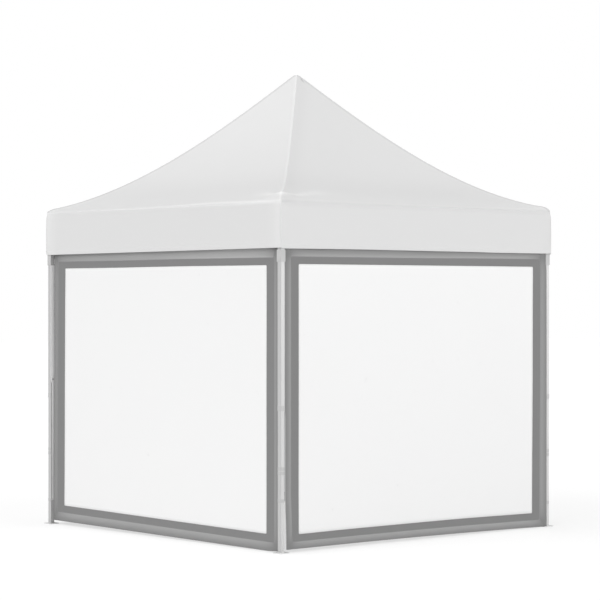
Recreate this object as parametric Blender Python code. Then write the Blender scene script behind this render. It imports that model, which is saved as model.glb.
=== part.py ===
"""Pop-up marquee tent, 3 m square, with a pagoda roof and four closed window walls.

Metres, +Z up. The origin is on the ground at the tent's centre. The front wall faces -Y.
Everything that repeats is drawn once for the front side, or for the front left corner, and
then turned about Z in quarter turns: 0 front, 1 right, 2 back, 3 left.

Local names used below:
  s  runs along a side, from its left end to its right end as seen from outside
  d  runs inwards from the line of the leg centres
"""

import math

import bmesh
import bpy
from mathutils import Matrix, Vector

# Legs and feet
LEG_AT = 1.46            # from the tent's centre to a leg's centre, along X and along Y
TUBE = 0.040             # outer leg tube, square
TUBE_BORE = 0.0384
TUBE_CORNER = 0.003
TUBE_LOW, TUBE_HIGH = 1.085, 2.585
INNER_TUBE = 0.0378      # telescoping lower tube, a close fit, so the leg looks the same all the way
INNER_BORE = 0.0362
INNER_HIGH = 1.46        # 0.375 m of it stands inside the outer tube
FOOT, FOOT_CORNER = 0.094, 0.006   # square foot plate
FOOT_THICK = 0.006
COLLAR = 0.0424          # plastic end collar of the outer tube
COLLAR_LOW, COLLAR_HIGH = 1.058, 1.095
KNOB_Z = 1.21            # snap button of the telescope
KNOB_R, KNOB_OUT = 0.010, 0.005

# Brackets and trusses
SLEEVE = 0.0486          # plastic sleeve of the slider bracket round the outer tube
CAP = 0.0444             # the corner bracket's, which the valance hangs against
SLIDER_LOW, SLIDER_HIGH = 2.165, 2.255
CORNER_LOW, CORNER_HIGH = 2.530, 2.600
TRUSS_TOP, TRUSS_LOW = 2.560, 2.200      # pivot heights of the scissor bars
BAR_TALL, BAR_THICK = 0.026, 0.015
BAR_OUTER_D, BAR_INNER_D = 0.0220, 0.0400  # centre planes of the two crossing bars
BAR_END = 1.395          # pivot at a corner bracket, along s
MID_BLOCK = 0.090        # length of the block where two scissors meet
HUB_R = 0.050
MAST_R = 0.019
MAST_LOW = 2.105

# Canopy
EAVE = 1.485             # half width of the canopy, to the outside of the valance
EAVE_Z = 2.613           # fold between roof and valance
VALANCE_LOW = 2.261
ROOF_THICK = 0.003
VALANCE_THICK = 0.0025
TIP = 0.0195             # half width of the flat top of the peak
HIP = (2.6493, 0.2723, 1.2144, -0.3651)  # height along a hip, powers of 1 - v / EAVE
MID_SAG, EAVE_SAG = 0.020, 0.034         # how far the middle of a roof panel hangs below its hips
SHOULDER = 0.045         # width of the turned-down edge that starts at the corner brackets
ROOF_ROWS = (0.02, 0.05, 0.10, 0.20, 0.34, 0.50, 0.68, 0.88, 1.08, 1.26, 1.38, 1.44, 1.460, 1.474,
             1.482, EAVE)
ROOF_COLUMNS = 10

# Walls
WALL_HALF = 1.434        # half width of a wall
WALL_LOW, WALL_HIGH = 0.020, 2.400
SEAM_S, SEAM_LOW, SEAM_HIGH = 1.368, 0.078, 2.202       # outside of the thicker inner border
WINDOW_S, WINDOW_LOW, WINDOW_HIGH = 1.288, 0.134, 2.145  # the window's visible edge
BAND_THICK, BORDER_THICK, WINDOW_THICK = 0.0020, 0.0014, 0.0015
WINDOW_LAP = 0.022       # the window sheet is sewn in behind the border
WALL_D = (-0.0165, 0.0060)  # front face of the walls: front and back, left and right
WALL_SHIFT = (-0.008, 0.0)  # how far the border is off centre along s, as they hang
STRAP_TALL, STRAP_THICK = 0.025, 0.0015
STRAP_LOW = (0.39, 0.20)    # lowest strap of a wall's left end
STRAP_LEFT, STRAP_RIGHT = 0.595, 0.627

GAP = 0.0003             # between solids that touch
HALF_GAP = GAP / 2

SIDES = ("front", "right", "back", "left")
CORNERS = ("front_left", "front_right", "back_right", "back_left")

MATERIALS = {
    # name: colour, roughness, metallic
    "canopy_fabric": ((0.80, 0.80, 0.80), 0.75, 0.0),
    "border_fabric": ((0.26, 0.26, 0.26), 0.80, 0.0),
    "window_sheet": ((0.90, 0.90, 0.90), 0.35, 0.0),
    "leg_aluminium": ((0.62, 0.62, 0.62), 0.40, 0.9),
    "plastic": ((0.75, 0.75, 0.75), 0.50, 0.0),
    "foot_steel": ((0.55, 0.55, 0.55), 0.45, 0.8),
}


def clear_scene():
    for obj in list(bpy.data.objects):
        bpy.data.objects.remove(obj, do_unlink=True)


def material(name):
    """The named material as one Principled shader."""
    found = bpy.data.materials.get(name)
    if found:
        return found
    colour, roughness, metallic = MATERIALS[name]
    made = bpy.data.materials.new(name)
    made.use_nodes = True
    shader = made.node_tree.nodes["Principled BSDF"]
    shader.inputs["Base Color"].default_value = (*colour, 1.0)
    shader.inputs["Roughness"].default_value = roughness
    shader.inputs["Metallic"].default_value = metallic
    return made


def turned(quarter):
    """The quarter turn that carries the front side to side number quarter."""
    return Matrix.Rotation(math.radians(90 * quarter), 4, "Z")


def put(name, bm, finish, quarter=0, parent=None):
    """Makes the object from a bmesh in front-side coordinates, turned to its side."""
    bmesh.ops.recalc_face_normals(bm, faces=bm.faces)
    mesh = bpy.data.meshes.new(name)
    bm.to_mesh(mesh)
    bm.free()
    mesh.transform(turned(quarter))
    if parent is not None:
        mesh.transform(Matrix.Translation(-parent.location))
    mesh.materials.append(material(finish))
    obj = bpy.data.objects.new(name, mesh)
    obj.parent = parent
    bpy.context.scene.collection.objects.link(obj)
    return obj


def box(bm, low, high):
    """Adds the box between two opposite corners."""
    made = bmesh.ops.create_cube(bm, size=1.0)["verts"]
    size = Vector(high) - Vector(low)
    middle = (Vector(high) + Vector(low)) / 2
    for vert in made:
        vert.co = Vector(a * b for a, b in zip(vert.co, size)) + middle
    return made


def cylinder(bm, radius, low, high, sides=16):
    """Adds the closed cylinder between two points."""
    low, high = Vector(low), Vector(high)
    run = high - low
    turn = Vector((0, 0, 1)).rotation_difference(run).to_matrix().to_4x4()
    place = Matrix.Translation((low + high) / 2) @ turn
    bmesh.ops.create_cone(bm, cap_ends=True, segments=sides, radius1=radius,
                          radius2=radius, depth=run.length, matrix=place)


def rounded_square(side, corner):
    """The eight points of a square with its corners cut off."""
    half, cut = side / 2, side / 2 - corner
    return [(cut, -half), (half, -cut), (half, cut), (cut, half),
            (-cut, half), (-half, cut), (-half, -cut), (-cut, -half)]


def loft(bm, rings, closed):
    """Joins rings of points by quads. closed also joins the last ring to the first."""
    verts = [[bm.verts.new(point) for point in ring] for ring in rings]
    count = len(verts[0])
    pairs = list(zip(verts, verts[1:]))
    if closed:
        pairs.append((verts[-1], verts[0]))
    for first, second in pairs:
        for i in range(count):
            j = (i + 1) % count
            bm.faces.new((first[i], first[j], second[j], second[i]))
    if not closed:
        bm.faces.new(verts[0])
        bm.faces.new(verts[-1])


def square_tube(bm, centre, outside, bore, low, high, corner):
    """Adds an open square tube that stands on centre between two heights."""
    rings = []
    for side, cut, z in ((outside, corner, low), (outside, corner, high),
                         (bore, corner * 0.7, high), (bore, corner * 0.7, low)):
        rings.append([(centre[0] + x, centre[1] + y, z) for x, y in rounded_square(side, cut)])
    loft(bm, rings, closed=True)


def join(target, pieces):
    """Unites the pieces into the target, so that they are one closed body."""
    for number, piece in enumerate(pieces):
        piece.hide_render = True
        piece.display_type = "WIRE"
        union = target.modifiers.new(f"join_{number}", "BOOLEAN")
        union.operation = "UNION"
        union.object = piece


def helper(name, bm, quarter):
    """A piece that only serves a union."""
    obj = put(name, bm, "plastic", quarter)
    obj.hide_render = True
    obj.display_type = "WIRE"
    return obj


# Legs


def corner_point():
    """The front left leg's centre."""
    return (-LEG_AT, -LEG_AT)


def leg(quarter):
    """The outer tube, its end collar and snap button, and the telescoping lower tube with its foot."""
    corner = CORNERS[quarter]
    centre = corner_point()
    bm = bmesh.new()
    square_tube(bm, centre, TUBE, TUBE_BORE, TUBE_LOW, TUBE_HIGH, TUBE_CORNER)
    tube = put(f"upper_leg_{corner}", bm, "leg_aluminium", quarter)
    # The snap button stands out of the tube's face along the front wall.
    bm = bmesh.new()
    face = centre[0] + TUBE / 2
    cylinder(bm, KNOB_R, (face - 0.001, centre[1], KNOB_Z), (face + KNOB_OUT, centre[1], KNOB_Z), 12)
    join(tube, [helper(f"knob_{corner}", bm, quarter)])

    bm = bmesh.new()
    step, lip, sleeve = TUBE_LOW - GAP, INNER_TUBE + 0.0008, TUBE + 2 * GAP
    rings = []
    for side, cut, z in ((COLLAR, 0.0036, COLLAR_LOW), (COLLAR, 0.0036, COLLAR_HIGH),
                         (sleeve, 0.0028, COLLAR_HIGH), (sleeve, 0.0028, step),
                         (lip, 0.002, step), (lip, 0.002, COLLAR_LOW)):
        rings.append([(centre[0] + x, centre[1] + y, z) for x, y in rounded_square(side, cut)])
    loft(bm, rings, closed=True)
    put(f"leg_collar_{corner}", bm, "plastic", quarter)

    # The lower tube slides along its own axis, which its empty marks.
    axis = bpy.data.objects.new(f"slide_axis_{corner}", None)
    axis.location = turned(quarter) @ Vector((*centre, 0))
    bpy.context.scene.collection.objects.link(axis)
    bm = bmesh.new()
    square_tube(bm, centre, INNER_TUBE, INNER_BORE, FOOT_THICK - 0.001, INNER_HIGH, TUBE_CORNER)
    lower = put(f"lower_leg_{corner}", bm, "leg_aluminium", quarter, axis)
    bm = bmesh.new()
    plate = rounded_square(FOOT, FOOT_CORNER)
    loft(bm, [[(centre[0] + x, centre[1] + y, z) for x, y in plate] for z in (0, FOOT_THICK)],
         closed=False)
    join(lower, [helper(f"foot_plate_{corner}", bm, quarter)])


# Brackets


def slider_bracket(quarter):
    """The sleeve that runs on the outer tube and carries the lower ends of two scissors."""
    centre = corner_point()
    corner = CORNERS[quarter]
    bm = bmesh.new()
    square_tube(bm, centre, SLEEVE, TUBE + 2 * GAP, SLIDER_LOW, SLIDER_HIGH, TUBE_CORNER)
    sleeve = put(f"slider_bracket_{corner}", bm, "plastic", quarter)
    near = BAR_INNER_D - BAR_THICK / 2 - GAP      # the lug's face beside the inner bar
    lugs = []
    for number, swap in enumerate((False, True)):
        low = (0.0115, SLEEVE / 2 - 0.002, TRUSS_LOW - 0.022)
        high = (LEG_AT - BAR_END + 0.018, near, TRUSS_LOW + 0.022)
        lugs.append(lug(f"slider_lug_{number}_{corner}", low, high, swap, quarter))
    join(sleeve, lugs)


def lug(name, low, high, swap, quarter):
    """A plate beside the leg, given as offsets (s, d, z) from its centre. swap turns it along Y."""
    if swap:
        low, high = (low[1], low[0], low[2]), (high[1], high[0], high[2])
    bm = bmesh.new()
    box(bm, (low[0] - LEG_AT, low[1] - LEG_AT, low[2]), (high[0] - LEG_AT, high[1] - LEG_AT, high[2]))
    return helper(name, bm, quarter)


def corner_bracket(quarter):
    """The cap on the leg's top: socket, two lugs for the scissors and a dome under the canopy."""
    centre = corner_point()
    corner = CORNERS[quarter]
    socket = TUBE + 2 * GAP
    bm = bmesh.new()
    rings = []
    for side, cut, z in ((socket, 0.0028, CORNER_LOW), (CAP, 0.003, CORNER_LOW),
                         (CAP, 0.003, CORNER_HIGH - 0.003), (CAP - 0.006, 0.003, CORNER_HIGH)):
        rings.append([(centre[0] + x, centre[1] + y, z) for x, y in rounded_square(side, cut)])
    # The dome leans inwards with the roof and ends just under it.
    lean = 0.020
    top = roof_height(0, LEG_AT - lean) - ROOF_THICK - 0.004
    for side, z in ((0.032, top - 0.010), (0.016, top)):
        share = (z - CORNER_HIGH) / (top - CORNER_HIGH)
        rings.append([(centre[0] + x + lean * share, centre[1] + y + lean * share, z)
                      for x, y in rounded_square(side, 0.003)])
    inner = [(centre[0] + x, centre[1] + y, TUBE_HIGH + GAP) for x, y in rounded_square(socket, 0.0028)]
    loft(bm, [inner, *rings], closed=False)
    cap = put(f"corner_bracket_{corner}", bm, "plastic", quarter)
    far = BAR_OUTER_D + BAR_THICK / 2 + GAP       # the lug's face beside the outer bar
    lugs = []
    for number, swap in enumerate((False, True)):
        low = (-0.010, CAP / 2 - 0.0012, TRUSS_TOP - 0.020)
        high = (0.050, far + 0.008, TRUSS_TOP + 0.020)
        lugs.append(lug(f"corner_pad_{number}_{corner}", low, high, swap, quarter))
        low = (0.030, far, TRUSS_TOP - 0.018)
        high = (LEG_AT - BAR_END + 0.018, far + 0.0082, TRUSS_TOP + 0.018)
        lugs.append(lug(f"corner_lug_{number}_{corner}", low, high, swap, quarter))
    join(cap, lugs)


# Trusses


def bar(name, start, end, middle_d, along, quarter):
    """A flat scissor bar between two pivots (run, z), with its end past each pivot.

    along gives the direction of the run, and middle_d the bar's place across it.
    """
    (run_a, z_a), (run_b, z_b) = start, end
    length = math.hypot(run_b - run_a, z_b - z_a) + 0.024
    angle = math.atan2(z_b - z_a, run_b - run_a)
    bm = bmesh.new()
    made = box(bm, (-length / 2, -BAR_THICK / 2, -BAR_TALL / 2), (length / 2, BAR_THICK / 2, BAR_TALL / 2))
    middle = Vector(((run_a + run_b) / 2, 0, (z_a + z_b) / 2))
    place = Matrix.Translation(middle) @ Matrix.Rotation(-angle, 4, "Y")
    if along == "X":
        across = Matrix.Translation((0, middle_d, 0))
    else:
        across = Matrix.Translation((middle_d, 0, 0)) @ Matrix.Rotation(math.radians(90), 4, "Z")
    for vert in made:
        vert.co = across @ (place @ vert.co)
    return bm, name, quarter


def side_truss(quarter):
    """Two scissors side by side, joined by blocks halfway, between the brackets of two legs."""
    side = SIDES[quarter]
    outer, inner = BAR_OUTER_D - LEG_AT, BAR_INNER_D - LEG_AT
    mid = MID_BLOCK / 2 - 0.015
    bm = bmesh.new()
    box(bm, (-MID_BLOCK / 2, outer - 0.010, TRUSS_LOW - 0.020), (MID_BLOCK / 2, inner + 0.012, TRUSS_LOW + 0.020))
    truss = put(f"side_truss_{side}", bm, "leg_aluminium", quarter)
    pieces = []
    for hand in (-1, 1):
        word = "l" if hand < 0 else "r"
        pieces.append(helper(*swapped(bar(f"bar_a_{word}_{side}", (hand * BAR_END, TRUSS_TOP),
                                          (hand * mid, TRUSS_LOW), outer, "X", quarter))))
        pieces.append(helper(*swapped(bar(f"bar_b_{word}_{side}", (hand * BAR_END, TRUSS_LOW),
                                          (hand * mid, TRUSS_TOP), inner, "X", quarter))))
        bm = bmesh.new()
        crossing = hand * (BAR_END + mid) / 2
        cylinder(bm, 0.006, (crossing, outer - 0.010, (TRUSS_TOP + TRUSS_LOW) / 2),
                 (crossing, inner + 0.010, (TRUSS_TOP + TRUSS_LOW) / 2), 10)
        pieces.append(helper(f"pivot_{word}_{side}", bm, quarter))
    bm = bmesh.new()
    box(bm, (-MID_BLOCK / 2 + 0.0005, outer - 0.0105, TRUSS_TOP - 0.0205),
        (MID_BLOCK / 2 - 0.0005, inner + 0.0115, TRUSS_TOP + 0.0205))
    pieces.append(helper(f"mid_block_{side}", bm, quarter))
    join(truss, pieces)


def swapped(made):
    """(name, bmesh, quarter) in the order that helper takes them."""
    bm, name, quarter = made
    return name, bm, quarter


def inner_truss(quarter):
    """One scissor from the middle of a side truss to the hubs on the mast."""
    side = SIDES[quarter]
    start = -LEG_AT + BAR_INNER_D + 0.012 + 0.001
    end = -HUB_R - 0.001
    bar_a, name, _ = bar(f"inner_truss_{side}", (start + 0.018, TRUSS_TOP), (end - 0.018, TRUSS_LOW),
                         0.009, "Y", quarter)
    truss = put(name, bar_a, "leg_aluminium", quarter)
    pieces = [helper(*swapped(bar(f"inner_bar_{side}", (start + 0.018, TRUSS_LOW), (end - 0.018, TRUSS_TOP),
                                  -0.009, "Y", quarter)))]
    bm = bmesh.new()
    middle, height = (start + end) / 2, (TRUSS_TOP + TRUSS_LOW) / 2
    cylinder(bm, 0.006, (-0.019, middle, height), (0.019, middle, height), 10)
    pieces.append(helper(f"inner_pivot_{side}", bm, quarter))
    # Forked ends: each pivot sits between two cheeks, drawn as one block to the seat's face.
    seat_start, seat_end = -LEG_AT + BAR_INNER_D + 0.012 + GAP, -HUB_R * math.cos(math.pi / 16) - GAP
    for word, low, high in (("start", seat_start, seat_start + 0.030), ("end", seat_end - 0.030, seat_end)):
        for height in (TRUSS_TOP, TRUSS_LOW):
            bm = bmesh.new()
            box(bm, (-0.0178, low, height - 0.0142), (0.0178, high, height + 0.0142))
            pieces.append(helper(f"fork_{word}_{int(height * 1000)}_{side}", bm, quarter))
    join(truss, pieces)


def spun(bm, profile, sides):
    """Adds the closed solid turned from a profile of (radius, z), from its low end to its top."""
    rings = []
    for radius, z in profile:
        angles = [2 * math.pi * (i + 0.5) / sides for i in range(sides)]
        rings.append([(radius * math.cos(a), radius * math.sin(a), z) for a in angles])
    loft(bm, rings, closed=False)


def centre_mast():
    """The mast with its two hubs and the cushioned cap that holds the canopy's peak up."""
    def under(radius):
        """Just below the middle of a roof panel, which is straight from row to row."""
        rows = (0.0, *ROOF_ROWS)
        upper = max(row for row in rows if row <= radius)
        lower = min(row for row in rows if row > radius)
        share = (radius - upper) / (lower - upper)
        height = (1 - share) * roof_height(0, upper) + share * roof_height(0, lower)
        return height - ROOF_THICK - 0.0005

    tube_top = under(0.085) - 0.050
    profile = [(MAST_R, MAST_LOW), (MAST_R, TRUSS_LOW - 0.035),
               (HUB_R, TRUSS_LOW - 0.034), (HUB_R, TRUSS_LOW + 0.034),
               (MAST_R, TRUSS_LOW + 0.035), (MAST_R, TRUSS_TOP - 0.035),
               (HUB_R, TRUSS_TOP - 0.034), (HUB_R, TRUSS_TOP + 0.034),
               (MAST_R, TRUSS_TOP + 0.035), (MAST_R, tube_top),
               (0.070, tube_top + 0.010), (0.085, tube_top + 0.022)]
    for radius in (0.085, 0.05, 0.02, 0.005):
        profile.append((radius, under(radius)))
    bm = bmesh.new()
    spun(bm, profile, 16)
    put("centre_mast", bm, "plastic")


# Canopy


def roof_height(across, v):
    """Top of the roof at distance v from the centre line, across from -1 to 1 between the hips.

    The hips fall in a smooth hollow curve from a small flat top. Between them the panel hangs a
    little lower. At the eave it hangs lowest, evenly but for the corners, where brackets lift it.
    Past the shoulder the edge turns down to the fold of the valance.
    """
    reach = (v ** 4 + TIP ** 4) ** 0.25
    w = 1 - reach / EAVE
    hip = sum(k * w ** power for power, k in enumerate(HIP))
    share = v / EAVE
    middle = MID_SAG * math.sin(math.pi * share) * (1 - across * across)
    eave = EAVE_SAG * share ** 3 * (1 - abs(across) ** 5)
    height = hip - middle - eave
    past = max(0.0, (v - (EAVE - SHOULDER)) / SHOULDER)
    # The corner comes down to the fold in a quarter round.
    drop = 1 - math.sqrt(max(0.0, 1 - past * past))
    return height + (EAVE_Z - height) * drop


def roof_panel(quarter):
    """One sewn gore of the canopy, a thin hollow sheet between two hips."""
    bm = bmesh.new()
    layers = []
    for lower in (0.0, ROOF_THICK):
        rows = [[bm.verts.new((0, -HALF_GAP * 1.5, roof_height(0, 0) - lower))]]
        for v in ROOF_ROWS:
            row = []
            for i in range(ROOF_COLUMNS + 1):
                # Columns stand closer towards the hips, where the eave bends most.
                across = math.sin(math.pi * (i / ROOF_COLUMNS - 0.5))
                row.append(bm.verts.new((across * (v - HALF_GAP * 1.5), -v, roof_height(across, v) - lower)))
            rows.append(row)
        layers.append(rows)
    for rows in layers:
        tip, first = rows[0][0], rows[1]
        for i in range(ROOF_COLUMNS):
            bm.faces.new((tip, first[i], first[i + 1]))
        for upper, lower in zip(rows[1:], rows[2:]):
            for i in range(ROOF_COLUMNS):
                bm.faces.new((upper[i], lower[i], lower[i + 1], upper[i + 1]))
    top, under = layers
    for side in (0, -1):
        for j in range(len(top) - 1):
            bm.faces.new((top[j][side], top[j + 1][side], under[j + 1][side], under[j][side]))
    for i in range(ROOF_COLUMNS):
        bm.faces.new((top[-1][i], top[-1][i + 1], under[-1][i + 1], under[-1][i]))
    put(f"roof_{SIDES[quarter]}", bm, "canopy_fabric", quarter)


def valance(quarter):
    """The straight band that hangs from the eave, mitred at its ends."""
    bm = bmesh.new()
    back = EAVE - VALANCE_THICK
    top = EAVE_Z - ROOF_THICK - GAP
    end, back_end = EAVE - HALF_GAP * 1.5, back - HALF_GAP * 1.5
    outline = [(-end, -EAVE), (end, -EAVE), (back_end, -back), (-back_end, -back)]
    loft(bm, [[(x, y, z) for x, y in outline] for z in (VALANCE_LOW, top)], closed=False)
    put(f"valance_{SIDES[quarter]}", bm, "canopy_fabric", quarter)


# Walls


def wall(quarter):
    """The fabric surround with its thicker border and its straps, and the window sheet behind it."""
    side = SIDES[quarter]
    kind = quarter % 2
    shift, front = WALL_SHIFT[kind], WALL_D[kind] - LEG_AT
    back = front + BAND_THICK

    def ring(half, low, high, y, off):
        return [(off - half, y, low), (off + half, y, low), (off + half, y, high), (off - half, y, high)]

    bm = bmesh.new()
    loft(bm, [ring(WALL_HALF, WALL_LOW, WALL_HIGH, back, 0),
              ring(WALL_HALF, WALL_LOW, WALL_HIGH, front, 0),
              ring(SEAM_S, SEAM_LOW, SEAM_HIGH, front, shift),
              ring(SEAM_S - 0.001, SEAM_LOW + 0.001, SEAM_HIGH - 0.001, front - BORDER_THICK, shift),
              ring(WINDOW_S, WINDOW_LOW, WINDOW_HIGH, front - BORDER_THICK, shift),
              ring(WINDOW_S, WINDOW_LOW, WINDOW_HIGH, back, shift)], closed=True)
    surround = put(f"wall_{side}", bm, "border_fabric", quarter)
    straps = []
    for hand, heights in ((-1, (STRAP_LEFT, STRAP_LOW[kind])), (1, (STRAP_RIGHT,))):
        for z in heights:
            straps.append(strap(f"strap_{hand}_{z}_{side}", hand, z, front, quarter))
            straps.append(tongue(f"tongue_{hand}_{z}_{side}", hand, z, front, quarter))
    join(surround, straps)

    bm = bmesh.new()
    near, far = back + GAP, back + GAP + WINDOW_THICK
    box(bm, (shift - WINDOW_S - WINDOW_LAP, near, WINDOW_LOW - WINDOW_LAP),
        (shift + WINDOW_S + WINDOW_LAP, far, WINDOW_HIGH + WINDOW_LAP))
    put(f"window_{side}", bm, "window_sheet", quarter)


def strap(name, hand, z, front, quarter):
    """The loop of a strap round the lower leg at one end of a wall."""
    bm = bmesh.new()
    bore = INNER_TUBE + 0.0008
    square_tube(bm, (hand * LEG_AT, -LEG_AT), bore + 2 * STRAP_THICK, bore,
                z - STRAP_TALL / 2, z + STRAP_TALL / 2, TUBE_CORNER)
    return helper(name, bm, quarter)


def tongue(name, hand, z, front, quarter):
    """The strip that joins a strap's loop to the wall's edge."""
    loop = INNER_TUBE / 2 + 0.0004
    ends = sorted((hand * (LEG_AT - loop - 0.0006), hand * (WALL_HALF - 0.012)))
    bm = bmesh.new()
    box(bm, (ends[0], front + 0.0002, z - 0.0115), (ends[1], front + 0.0017, z + 0.0115))
    return helper(name, bm, quarter)


clear_scene()
for turn in range(4):
    leg(turn)
    slider_bracket(turn)
    corner_bracket(turn)
    side_truss(turn)
    inner_truss(turn)
    roof_panel(turn)
    valance(turn)
    wall(turn)
centre_mast()
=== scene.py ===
# %% [markdown]
# # The looks of a pop-up marquee tent
# The tent stands on four telescopic aluminium legs. One sewn canopy covers it, and four cloth walls
# with milky window sheets close it. The imported model gives every solid its place; this notebook dresses
# it. Cloth and tubes could be sculpted by hand, but here each piece is a surface worked out from a
# formula, because then a size is a named value and a second wall costs one more call.

# %% Load the imported model
import math
from collections import namedtuple
from functools import partial

import bpy
import numpy as np
from numpy.polynomial import polynomial
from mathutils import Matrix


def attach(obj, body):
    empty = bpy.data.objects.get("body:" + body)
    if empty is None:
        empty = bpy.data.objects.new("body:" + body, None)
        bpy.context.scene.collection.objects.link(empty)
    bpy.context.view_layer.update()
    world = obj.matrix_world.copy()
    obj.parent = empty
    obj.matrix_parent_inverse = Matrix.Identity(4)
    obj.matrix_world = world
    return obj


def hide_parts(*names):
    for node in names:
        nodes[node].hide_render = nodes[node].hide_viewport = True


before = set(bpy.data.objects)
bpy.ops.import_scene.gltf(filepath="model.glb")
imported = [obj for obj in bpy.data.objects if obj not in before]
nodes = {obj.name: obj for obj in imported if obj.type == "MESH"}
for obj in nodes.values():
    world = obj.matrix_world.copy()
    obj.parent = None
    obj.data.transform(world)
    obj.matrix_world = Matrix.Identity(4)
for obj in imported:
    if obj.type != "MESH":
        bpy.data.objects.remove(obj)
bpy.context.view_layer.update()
scene = bpy.context.scene

# %% [markdown]
# ## Camera, floor and light
# The photograph was taken from about 19 m away with a long lens, so its verticals are straight and its
# walls converge only a little. The camera was found by fitting feet, eaves and peak, and a small shift
# replaces a tilt. A pale floor and an even sky make the soft white studio. Broad lamps from the left and
# from behind light the left-hand side of the roof and throw the faint shadow in front of the
# right-hand wall.

# %% Camera
CAMERA_AT = (-12.5197, -14.0443, 1.9294)
CAMERA_TURN = math.radians(-41.79)
LENS, SENSOR, SHIFT = 135.38, 36.0, -0.01085
FARTHEST = 400                               # metres, well past the floor's edge

camera = bpy.data.objects.new("camera", bpy.data.cameras.new("camera"))
scene.collection.objects.link(camera)
camera.location = CAMERA_AT
camera.rotation_euler = (math.radians(90), 0, CAMERA_TURN)
camera.data.lens, camera.data.sensor_width, camera.data.shift_y = LENS, SENSOR, SHIFT
camera.data.clip_end = FARTHEST
scene.camera = camera
scene.view_settings.view_transform = "Standard"
print("camera", round(math.hypot(*CAMERA_AT[:2]), 2), "m from the tent's middle")

# %% Sky and lamps
BACKDROP = 1.0           # radiance of the white room as the camera sees it
SKY = 0.54               # radiance with which the room lights the tent
SUNS = {                 # name: compass angle from +X and height of the lamp, strength, angle it fills
    "key_behind": (120, 45, 0.64, 70),
    "key_left": (180, 25, 1.23, 70),
    "fill_right": (300, 10, 1.70, 70),
}

world = bpy.data.worlds.new("studio")
scene.world = world
world.use_nodes = True
background = world.node_tree.nodes["Background"]
background.inputs["Color"].default_value = (1, 1, 1, 1)


def seen_or_lighting(tree, seen, lighting):
    """One value for what the camera sees and another for what lights the tent."""
    path = tree.nodes.new("ShaderNodeLightPath")
    choice = tree.nodes.new("ShaderNodeMapRange")
    choice.inputs["To Min"].default_value = lighting
    choice.inputs["To Max"].default_value = seen
    tree.links.new(path.outputs["Is Camera Ray"], choice.inputs["Value"])
    return choice.outputs["Result"]


world.node_tree.links.new(seen_or_lighting(world.node_tree, BACKDROP, SKY), background.inputs["Strength"])


def distant_lamp(name, compass, height, strength, angle):
    """A broad lamp far away, at a compass angle from +X and a height, both in degrees."""
    light = bpy.data.lights.new(name, "SUN")
    light.energy, light.angle = strength, math.radians(angle)
    made = bpy.data.objects.new(name, light)
    made.rotation_euler = (math.radians(90 - height), 0, math.radians(compass + 90))
    scene.collection.objects.link(made)


for name, place in SUNS.items():
    distant_lamp(name, *place)
print(len(SUNS), "broad lamps")

# %% [markdown]
# ## Helpers for surfaces
# A curved sheet is a grid of points: rows run down it and columns run across it. Blender could make the
# same from extruded curves, but arrays are quicker and keep the formula in sight. One helper turns a grid
# into a mesh, and one turns it to its side of the tent, because the four sides repeat.

# %% Mesh from a grid of points
TENT = "tent"
SIDES = ("front", "right", "back", "left")
CORNERS = ("front_left", "front_right", "back_right", "back_left")


def quads(rows, columns, wrap=False):
    """Faces between neighbouring grid points, counter-clockwise as seen with row 0 on top.

    wrap also joins the last column to the first.
    """
    j = np.arange(rows - 1)[:, None]
    i = np.arange(columns if wrap else columns - 1)[None, :]
    right = (i + 1) % columns
    corners = (j * columns + i, (j + 1) * columns + i, (j + 1) * columns + right, j * columns + right)
    return np.stack([np.broadcast_to(c, (rows - 1, i.size)).ravel() for c in corners], axis=1)


def quarter_turned(points, quarter):
    """Points of the front side, carried to side number quarter by quarter turns about Z."""
    c, s = ((1, 0), (0, 1), (-1, 0), (0, -1))[quarter % 4]
    x, y, z = points[..., 0], points[..., 1], points[..., 2]
    return np.stack([c * x - s * y, s * x + c * y, z], axis=-1)


def make_piece(name, points, faces, finish, body=TENT, fields=(), maps=(), sharp=None):
    """A mesh object at the origin, smooth shaded, with its material, slot and body.

    fields are point attributes {name: values}, and maps are UV maps {name: one pair per point}.
    sharp is the angle in degrees past which an edge stays hard.
    """
    mesh = bpy.data.meshes.new(name)
    mesh.from_pydata(np.asarray(points, float).reshape(-1, 3).tolist(), [], [list(f) for f in faces])
    for field, values in dict(fields).items():
        mesh.attributes.new(field, "FLOAT", "POINT").data.foreach_set("value", np.ravel(values))
    loop_points = np.zeros(len(mesh.loops), int)
    mesh.loops.foreach_get("vertex_index", loop_points)
    for layer, pairs in dict(maps).items():
        uv = mesh.uv_layers.new(name=layer)
        uv.data.foreach_set("uv", np.asarray(pairs, float).reshape(-1, 2)[loop_points].ravel())
    mesh.shade_smooth()
    if sharp is not None:
        mesh.set_sharp_from_angle(angle=math.radians(sharp))
    mesh.materials.append(finish)
    made = bpy.data.objects.new(name, mesh)
    scene.collection.objects.link(made)
    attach(made, body)
    return made


print("a 3 by 4 grid has", len(quads(3, 4)), "faces")

# %% Thickness and smooth steps
OUTER_FACE = -1.0                            # Solidify's offset that keeps the outer face as drawn


def solid_cloth(piece, thickness):
    """Gives a single sheet its thickness, inwards from the face that was drawn."""
    layer = piece.modifiers.new("thickness", "SOLIDIFY")
    layer.thickness, layer.offset, layer.use_even_offset = thickness, OUTER_FACE, True
    return piece


def smooth_step(value, low, high):
    """0 below low, 1 above high, and an S-shaped rise in between."""
    t = np.clip((value - low) / (high - low), 0, 1)
    return t * t * (3 - 2 * t)


print("halfway up a smooth step:", float(smooth_step(0.5, 0, 1)))

# %% Floor
FLOOR_REACH = 60.0

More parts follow.
